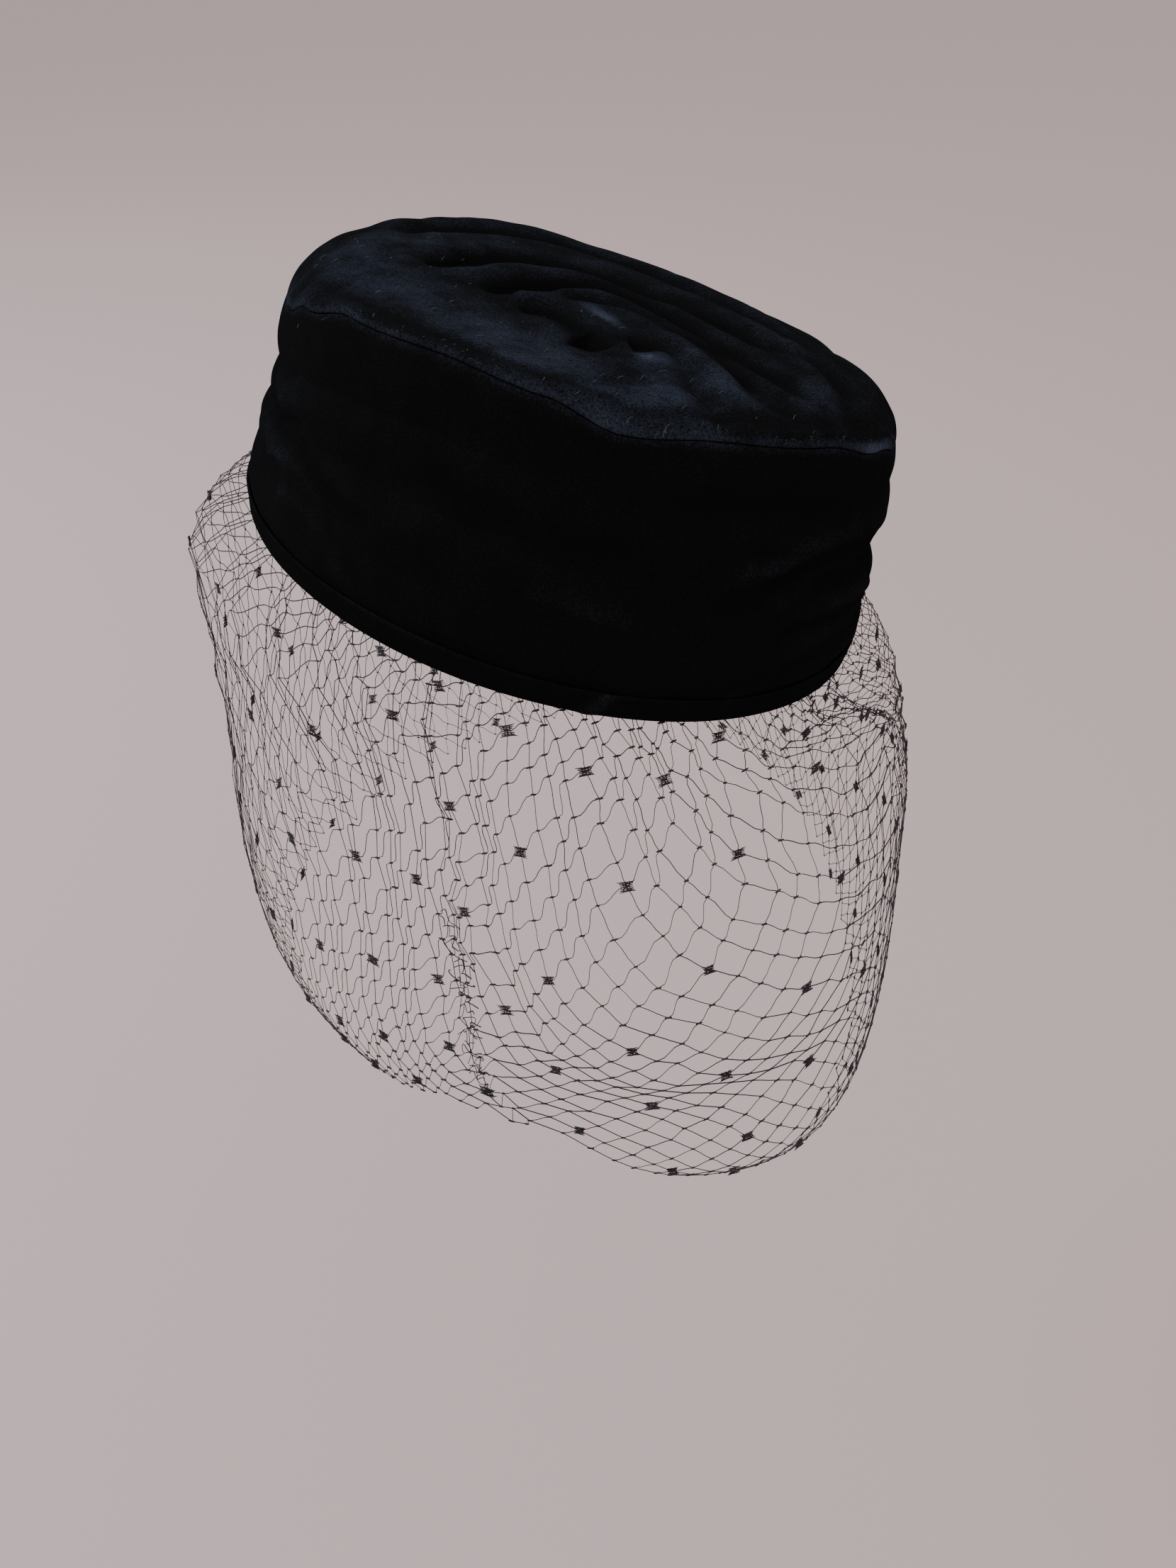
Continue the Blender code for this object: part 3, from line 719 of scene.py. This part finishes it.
def tubes(name, lines, thickness, finish, swells=None):
    """Threads along lines of points, as one mesh; swells scale the thickness of each thread at its points."""
    curve = bpy.data.curves.new(name, "CURVE")
    curve.dimensions = "3D"
    curve.bevel_depth = thickness / 2.0
    curve.bevel_resolution = 0
    curve.use_fill_caps = True
    for number, line in enumerate(lines):
        spline = curve.splines.new("POLY")
        spline.points.add(len(line) - 1)
        spline.points.foreach_set("co", np.concatenate([line, np.ones((len(line), 1))], axis=1).ravel())
        if swells:
            spline.points.foreach_set("radius", np.broadcast_to(swells[number], len(line)).astype(float))
    piece = bpy.data.objects.new(name, curve)
    bpy.context.collection.objects.link(piece)
    bpy.ops.object.select_all(action="DESELECT")
    piece.select_set(True)
    bpy.context.view_layer.objects.active = piece
    bpy.ops.object.convert(target="MESH")
    piece = bpy.context.object
    piece.data.materials.append(finish)
    bpy.ops.object.shade_smooth()
    return piece


def copies(name, pattern, places, finish):
    """One mesh of many copies of a small pattern mesh, each at its own 4 by 4 placing."""
    count = len(pattern.data.vertices)
    corners = np.zeros(count * 3)
    pattern.data.vertices.foreach_get("co", corners)
    corners = np.concatenate([corners.reshape(-1, 3), np.ones((count, 1))], axis=1)
    faces = [tuple(face.vertices) for face in pattern.data.polygons]
    placed = np.concatenate([corners @ np.array(place).T for place in places])[:, :3]
    mesh = bpy.data.meshes.new(name)
    mesh.from_pydata(placed.tolist(), [], [tuple(v + count * i for v in face)
                                           for i in range(len(places)) for face in faces])
    mesh.materials.append(finish)
    mesh.shade_smooth()
    piece = bpy.data.objects.new(name, mesh)
    bpy.context.collection.objects.link(piece)
    bpy.data.objects.remove(pattern, do_unlink=True)
    return piece


def knot_grid():
    """Places of the net's knots by row and column, the way round the veil at each, and which are above the hem."""
    rows, columns = np.meshgrid(np.arange(NET_ROWS + 1.0), np.arange(NET_COLUMNS * 1.0), indexing="ij")
    rows, columns = rows.ravel(), columns.ravel() + 0.5 * (rows.ravel() % 2)
    angles, drops, bulge = net_knots(rows, columns)
    draws = np.random.default_rng(3)
    loose = np.minimum(1.0, rows / 4.0)
    angles = angles + draws.normal(0.0, 0.0045, len(rows)) * loose
    drops = drops + draws.normal(0.0, 0.45, len(rows)) * loose
    kept = drops < around(HEM, angles)[0]
    drops = np.clip(drops, 0.0, LOWEST_DROP)
    places = veil(angles, drops)
    aside = veil(angles + 0.01, drops) - places
    aside /= np.linalg.norm(aside, axis=1)[:, None]
    out = np.cross(aside, [0.0, 0.0, 1.0])
    out /= np.linalg.norm(out, axis=1)[:, None]
    places += out * (bulge / 1000.0)[:, None]
    size = (NET_ROWS + 1, NET_COLUMNS)
    kept = kept.reshape(size)
    for row in range(1, NET_ROWS + 1):
        # Each knot hangs from two bars, so that the hem follows whole meshes
        kept[row] &= kept[row - 1] & np.roll(kept[row - 1], -1 if row % 2 else 1)
    return places.reshape(*size, 3), aside.reshape(*size, 3), out.reshape(*size, 3), kept


def thread_line(net, start, way, draws):
    """One thread of the net from the rim to the hem; way is 1 for the family that runs to the hat's left."""
    knots, aside, _, kept = net
    line = []
    column = start
    for row in range(NET_ROWS):
        after = (column + (row % 2 if way > 0 else row % 2 - 1)) % NET_COLUMNS
        if not (kept[row, column] and kept[row + 1, after]):
            break
        here, there = knots[row, column], knots[row + 1, after]
        run = there - here
        length = np.linalg.norm(run)
        # The family that hangs runs straight down; the other crosses it level and drops between crossings
        bearing = (math.degrees(math.atan2(here[1], here[0])) + 270.0) % 360.0 - 270.0
        front = ramp((FRONT_BEARINGS[1] - bearing) / FRONT_FADE) * ramp((bearing - FRONT_BEARINGS[0]) / FRONT_FADE)
        crossing = 0.5 + front * (1.0 / (1.0 + math.exp(way * (CHANGE_BEARING - bearing) / CHANGE_WIDTH)) - 0.5)
        crossing *= 1.0 - LEVEL_LOST * ramp((row - LEVEL_ROWS) / LEVEL_ROWS)
        heading = (0.12 + 0.85 * crossing) * draws.uniform(0.8, 1.05)
        pull = 1.0 + 0.5 * crossing
        shares = np.linspace(0.0, 1.0, 3 + round(4 * heading))[:-1, None]
        out = (run * (1.0 - heading) + aside[row, column] * way * length * heading) * pull
        into = (run * (1.0 - heading) + aside[row + 1, after] * way * length * heading) * pull
        back = 1.0 - shares
        line.append(here * back ** 2 * (1 + 2 * shares) + out * shares * back ** 2
                    + there * shares ** 2 * (3 - 2 * shares) - into * shares ** 2 * back)
        column = after
    line.append(knots[row, column][None])
    return np.concatenate(line)


def fold_loops():
    """Slack bars that lie bunched one over the next down the fold on the hat's right."""
    draws = random.Random(19)
    lines = []
    shares = np.linspace(-1.0, 1.0, 13)
    for number in range(FOLD_LOOPS):
        drop = LOOP_DROPS[0] + (LOOP_DROPS[1] - LOOP_DROPS[0]) * (number + draws.uniform(-0.4, 0.4)) / FOLD_LOOPS
        middle = LOOP_BEARING + draws.gauss(0.0, 0.5)
        wide, skew = draws.uniform(0.8, 1.7), draws.uniform(-0.8, 0.8)
        tall, turns = draws.uniform(0.4, 1.9), draws.uniform(1.6, 3.6)
        line = veil(np.radians(middle + wide * (shares + skew * np.sin(math.pi * shares))),
                    drop + tall * np.sin(turns * shares + draws.uniform(-0.5, 0.5)))
        outward = line * [1.0, 1.0, 0.0]
        outward /= np.linalg.norm(outward, axis=1)[:, None]
        lines.append(line + outward * (0.0012 + 0.0008 * np.cos(2.0 * turns * shares))[:, None])
    return lines


def make_threads(net, finish):
    draws = random.Random(17)
    lines = [thread_line(net, column, way, draws) for way in (1, -1) for column in range(NET_COLUMNS)]
    lines += fold_loops()
    # Level stretches read darker than hanging ones, which the daylight catches along their length
    swells = []
    for line in lines:
        run = np.gradient(line, axis=0)
        swells.append(1.25 - 0.55 * np.abs(run[:, 2]) / np.maximum(np.linalg.norm(run, axis=1), 1e-9))
    return tubes("net_threads", lines, THREAD, finish, swells)


def make_knots(net, finish):
    knots, aside, outward, kept = net
    bpy.ops.object.select_all(action="DESELECT")
    bpy.ops.mesh.primitive_ico_sphere_add(subdivisions=1, radius=1.0)
    pattern = bpy.context.object
    places = []
    draws = random.Random(11)
    for row in range(1, NET_ROWS + 1):
        for column in range(NET_COLUMNS):
            if not kept[row, column]:
                continue
            along, out = Vector(aside[row, column]), Vector(outward[row, column])
            turn = Matrix((along, out.cross(along), out)).transposed()
            tilt = Matrix.Rotation(math.radians(draws.gauss(20.0, 8.0)), 3, "Z")
            # Knots of the front are pulled into short bars; those of the sides and back stay small
            x, y = knots[row, column][:2]
            front = ramp((0.35 - (0.25 * x + 0.97 * y) / -math.hypot(x, y)) / -0.3)
            size = Matrix.Diagonal((KNOT_BAR * draws.uniform(0.6, 1.3) * (0.6 + 0.4 * front),
                                    KNOT_CORE + 0.00008 * front, KNOT_CORE + 0.00006 * front))
            places.append(Matrix.Translation(Vector(knots[row, column])) @ (turn @ tilt @ size).to_4x4())
    return copies("net_knots", pattern, places, finish)


def make_dots(net, finish):
    """Filled meshes of the net: short strands between two bars, drawn in at the middle and pulled at the corners."""
    knots, aside, outward, kept = net
    lines, bars = [], []
    draws = random.Random(23)
    for row in range(DOT_EVERY, NET_ROWS, DOT_EVERY):
        first = 0 if (row // DOT_EVERY) % 2 else 2
        for column in range(first, NET_COLUMNS, DOT_EVERY):
            if not kept[row, column]:
                continue
            middle, along, out = (table[row, column] for table in (knots, aside, outward))
            up = np.cross(out, along)
            tilt = draws.uniform(0.05, 0.5)
            along, up = along * math.cos(tilt) + up * math.sin(tilt), up * math.cos(tilt) - along * math.sin(tilt)
            tall, wide = DOT_HEIGHT * draws.uniform(0.85, 1.1), DOT_WIDTH * draws.uniform(0.8, 1.1)
            shares = np.linspace(-1.0, 1.0, 7)[:, None]
            for step in (-1.0, -0.68, -0.36, 0.0, 0.34, 0.66, 1.0):
                half = wide * (0.70 + 0.30 * step * step) * draws.uniform(0.92, 1.06)
                bow = step * tall * (0.78 + 0.22 * shares ** 2)
                ripple = np.array([draws.uniform(-1, 1) for _ in shares])[:, None] * 0.00012
                lines.append(middle + along * half * shares + up * bow + out * (0.0001 + ripple))
                bars.append(1.2 * (1.0 - 0.7 * np.abs(shares[:, 0]) ** 1.5) if abs(step) > 0.9 else 0.68)
            for place in (-0.5, 0.0, 0.5):
                lines.append(middle + up * tall * 0.9 * shares
                             + along * wide * place * (0.6 + 0.4 * shares ** 2) - out * 0.0001)
                bars.append(0.6)
    return tubes("net_dots", lines, DOT_STRAND, finish, bars)


def make_heading(net, finish):
    """Gathered top of the net, caught inside the binding by a running stitch."""
    knots = net[0]
    lines = []
    draws = random.Random(5)
    for column in range(NET_COLUMNS):
        top = knots[0, column]
        angle = math.atan2(top[1], top[0])
        angles = np.array([angle + draws.uniform(-0.01, 0.01)])
        inside = worn(oval(angles, rim_reach(angles, 0.0), HEADING_TOP, -HEADING_INSET))[0]
        middle = worn(oval(angles, rim_reach(angles, 0.0), -0.0010, -0.0038))[0]
        lines.append(np.array([inside, middle, top]))
    return tubes("net_heading", lines, THREAD, finish)


def make_stitches(finish):
    """Running stitch that holds the heading to the inside of the binding."""
    lines = []
    draws = random.Random(7)
    for number in range(STITCHES):
        start = 2.0 * math.pi * (number + draws.uniform(-0.12, 0.12)) / STITCHES
        angles = start + np.linspace(0.0, 0.6, 5) * 2.0 * math.pi / STITCHES
        lift = np.array([0.0, 0.00025, 0.00035, 0.00025, 0.0])
        height = STITCH_HEIGHT + wander(70, angles, 0.0008)
        lines.append(worn(oval(angles, rim_reach(angles, 0.0), height, -STITCH_INSET - lift)))
    return tubes("heading_stitches", lines, STITCH_THREAD, finish)


def make_lint(finish):
    """Pale lint that lies loosely on the tip, and the fuzz of the pile along its seam."""
    draws = random.Random(41)
    lines, swells = [], []
    for number in range(len(LINT) + LOOSE_LINT + SEAM_FUZZ):
        if number < len(LINT) + LOOSE_LINT:
            spot = np.array(LINT[number] if number < len(LINT) else (draws.gauss(-45, 22), draws.uniform(-85, 50)))
            way, length, height, swell = draws.gauss(25.0, 12.0), draws.uniform(0.8, 2.4), 0.0003, 0.75
        else:
            angle = math.radians(draws.uniform(-178.0, -56.0))
            edge = seam_at(np.array([angle]))[1][0] * 1000.0 * draws.uniform(0.985, 0.999)
            spot = np.array([HALF_WIDTH * math.cos(angle), HALF_LENGTH * math.sin(angle)]) * edge
            way = math.degrees(angle) + 90.0 + draws.gauss(0.0, 25.0)
            length, height, swell = draws.uniform(0.3, 1.1), 0.0001, 0.4
        way = math.radians(way)
        shares = np.linspace(-0.5, 0.5, 5)
        curl = draws.gauss(0.0, 0.25)
        bend = curl * (shares ** 2 - 0.1)
        flat = spot + length * np.stack([math.cos(way) * shares - math.sin(way) * bend,
                                         math.sin(way) * shares + math.cos(way) * bend], axis=-1)
        line = on_tip(flat)
        line[:, 2] += 0.0001 + height * draws.random() * (1.0 - (2.0 * shares) ** 2)
        lines.append(line)
        swells.append(swell * draws.uniform(0.6, 1.2))
    return tubes("velvet_lint", lines, LINT_FIBRE, finish, swells)


def velvet_finish(name, deep, dim_painted_sheen, painted_sheen, painted_highlight, sheen, tint):
    """Silk velvet: a dense pile, nearly black; its blue-grey sheen, its highlights and the shade in its creases are
    painted into the base colour from the vertex attribute, and the shader's own sheen is slight.
    """
    made, tree, shader = new_material(name)
    place = add_node(tree, "ShaderNodeTexCoord").outputs["Object"]
    painted_light_read = add_node(tree, "ShaderNodeAttribute", {"attribute_name": "pile_and_painted_sheen"}).outputs["Fac"]
    # Pile that has been stroked different ways lies in soft patches about 9 mm wide
    patches = add_node(tree, "ShaderNodeTexNoise", {"Scale": 110.0, "Detail": 4.0, "Roughness": 0.6}, Vector=place)
    uneven = add_node(tree, "ShaderNodeMapRange", {"From Min": 0.3, "From Max": 0.7, "To Min": 0.45, "To Max": 1.45},
                      Value=patches.outputs["Fac"])
    # Painted light read from the vertex attribute, made uneven by the patches
    light = add_node(tree, "ShaderNodeMath", {"operation": "MULTIPLY"})
    tree.links.new(painted_light_read, light.inputs[0])
    tree.links.new(uneven.outputs["Result"], light.inputs[1])
    # Tufts of pile are about 0.3 mm apart; drawn at 0.6 mm so that they show
    pile_and_painted_sheen = add_node(tree, "ShaderNodeTexNoise", {"Scale": 1700.0, "Detail": 2.0}, Vector=place)
    tufts = add_node(tree, "ShaderNodeMapRange", {"From Min": 0.35, "From Max": 0.65, "To Min": 0.5, "To Max": 1.5},
                     Value=pile_and_painted_sheen.outputs["Fac"])
    lit = add_node(tree, "ShaderNodeMath", {"operation": "MULTIPLY"})
    tree.links.new(light.outputs["Value"], lit.inputs[0])
    tree.links.new(tufts.outputs["Result"], lit.inputs[1])
    level = add_node(tree, "ShaderNodeMath", {"operation": "MULTIPLY_ADD"})
    tree.links.new(tufts.outputs["Result"], level.inputs[0])
    level.inputs[1].default_value = 0.10
    tree.links.new(lit.outputs["Value"], level.inputs[2])
    # The ramp paints that light into the base colour: black, then dim painted sheen, painted blue-grey sheen and
    # painted highlight
    share = add_node(tree, "ShaderNodeMapRange", {"From Min": 0.0, "From Max": 4.0}, Value=level.outputs["Value"])
    shade = add_node(tree, "ShaderNodeValToRGB", Fac=share.outputs["Result"])
    tones = shade.color_ramp
    tones.elements[0].position, tones.elements[0].color = 0.0, linear(deep)
    tones.elements[1].position, tones.elements[1].color = 1.0, linear(painted_highlight)
    tones.elements.new(0.08).color = linear(dim_painted_sheen)
    tones.elements.new(0.27).color = linear(painted_sheen)
    nap = add_node(tree, "ShaderNodeBump", {"Strength": 0.6, "Distance": 0.0004}, Height=pile_and_painted_sheen.outputs["Fac"])
    lay = add_node(tree, "ShaderNodeBump", {"Strength": 0.3, "Distance": 0.001},
                   Height=patches.outputs["Fac"], Normal=nap.outputs["Normal"])
    tree.links.new(shade.outputs["Color"], shader.inputs["Base Color"])
    tree.links.new(lay.outputs["Normal"], shader.inputs["Normal"])
    shader.inputs["Roughness"].default_value = 0.95
    shader.inputs["Specular IOR Level"].default_value = 0.0
    shader.inputs["Sheen Weight"].default_value = sheen
    shader.inputs["Sheen Roughness"].default_value = 0.4
    shader.inputs["Sheen Tint"].default_value = linear(tint)
    return made


def lint_finish():
    """Cotton lint: dull, pale and slightly grey."""
    made, tree, shader = new_material("pale_cotton_lint")
    place = add_node(tree, "ShaderNodeTexCoord").outputs["Object"]
    # Single fibres differ from one another over a few millimetres
    mixed = add_node(tree, "ShaderNodeTexNoise", {"Scale": 300.0}, Vector=place)
    shade = add_node(tree, "ShaderNodeValToRGB", Fac=mixed.outputs["Fac"])
    shade.color_ramp.elements[0].color, shade.color_ramp.elements[1].color = linear("#343b44"), linear("#848e97")
    tree.links.new(shade.outputs["Color"], shader.inputs["Base Color"])
    shader.inputs["Roughness"].default_value = 0.9
    return made


def thread_finish(name, dark, light, roughness):
    """Rayon thread or floss: nearly black with a slight purple cast, smoother and glossier where it is twisted."""
    made, tree, shader = new_material(name)
    place = add_node(tree, "ShaderNodeTexCoord").outputs["Object"]
    # The dye takes unevenly over a few millimetres
    dye = add_node(tree, "ShaderNodeTexNoise", {"Scale": 240.0, "Detail": 2.0}, Vector=place)
    shade = add_node(tree, "ShaderNodeValToRGB", Fac=dye.outputs["Fac"])
    tones = shade.color_ramp
    tones.elements[0].position, tones.elements[0].color = 0.35, linear(dark)
    tones.elements[1].position, tones.elements[1].color = 0.72, linear(light)
    # The twist repeats about every 0.6 mm
    twist = add_node(tree, "ShaderNodeTexNoise", {"Scale": 1600.0, "Detail": 1.0}, Vector=place)
    bump = add_node(tree, "ShaderNodeBump", {"Strength": 0.4, "Distance": 0.0001}, Height=twist.outputs["Fac"])
    tree.links.new(shade.outputs["Color"], shader.inputs["Base Color"])
    tree.links.new(bump.outputs["Normal"], shader.inputs["Normal"])
    shader.inputs["Roughness"].default_value = roughness
    return made


def plain_floor():
    bpy.ops.object.select_all(action="DESELECT")
    bpy.ops.mesh.primitive_plane_add(size=30.0, location=(0.0, 0.0, -0.42))
    floor = bpy.context.object
    floor.name = "studio_floor"
    made, _, shader = new_material("matt_painted_floor")
    shader.inputs["Base Color"].default_value = linear("#d0bfbd")
    shader.inputs["Roughness"].default_value = 0.9
    floor.data.materials.append(made)


def area_light(name, place, aim, size, power, colour):
    light = bpy.data.lights.new(name, "AREA")
    light.shape = "DISK"
    light.size = size
    light.energy = power
    light.color = linear(colour)[:3]
    lamp = bpy.data.objects.new(name, light)
    bpy.context.collection.objects.link(lamp)
    lamp.location = place
    lamp.rotation_euler = (Vector(aim) - Vector(place)).to_track_quat("-Z", "Y").to_euler()


def studio():
    world = bpy.data.worlds.new("soft_daylight")
    bpy.context.scene.world = world
    world.use_nodes = True
    sky = world.node_tree.nodes["Background"]
    sky.inputs["Color"].default_value = linear("#ece4e4")
    sky.inputs["Strength"].default_value = 0.92
    area_light("window", (-1.2, 1.5, 1.7), (0.0, 0.0, 0.0), 1.2, 38.0, "#eef3ff")
    area_light("fill", (-1.4, -1.6, 1.6), (0.0, 0.0, -0.05), 2.0, 10.0, "#fff4ee")


def photo_camera():
    lens = bpy.data.cameras.new("camera")
    lens.lens = 30.6
    lens.sensor_width = 36.0
    lens.clip_start = 0.01
    lens.clip_end = 60.0
    camera = bpy.data.objects.new("camera", lens)
    bpy.context.collection.objects.link(camera)
    camera.location = (-0.2237, -0.3080, 0.1775)
    camera.rotation_euler = (math.radians(90.0 - 35.467), 0.0, math.radians(-37.785))
    bpy.context.scene.camera = camera


photo_camera()
studio()
plain_floor()

# Of each velvet's colours, the second, third and fourth are painted: dim painted sheen, painted blue-grey sheen and
# painted highlight
velvet = velvet_finish("black_silk_velvet", "#0b0b0b", "#121314", "#232832", "#3a404e", 0.012, "#a0a8b8")
binding_velvet = velvet_finish("black_velvet_strip", "#0b0b0b", "#111213", "#1e2126", "#2e323a", 0.012, "#a0a8b8")
rayon = thread_finish("black_rayon_thread", "#0c0a0f", "#24202a", 0.55)
floss = thread_finish("black_chenille_floss", "#131217", "#34323c", 0.85)

side = make_side(velvet)
tip = make_tip(velvet)
binding = make_binding(binding_velvet)
net = knot_grid()
threads = make_threads(net, rayon)
knots = make_knots(net, rayon)
dots = make_dots(net, floss)
heading = make_heading(net, rayon)
stitches = make_stitches(rayon)
lint = make_lint(lint_finish())

for piece, slot in ((side, "velvet"), (tip, "velvet"), (binding, "velvet_binding"), (threads, "net"),
                    (knots, "net"), (dots, "net"), (heading, "net"), (stitches, "net"), (lint, "velvet")):
    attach(piece, "root")
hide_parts("crown_side")
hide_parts("crown_tip")
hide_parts("rim_binding")
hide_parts("veil_net")
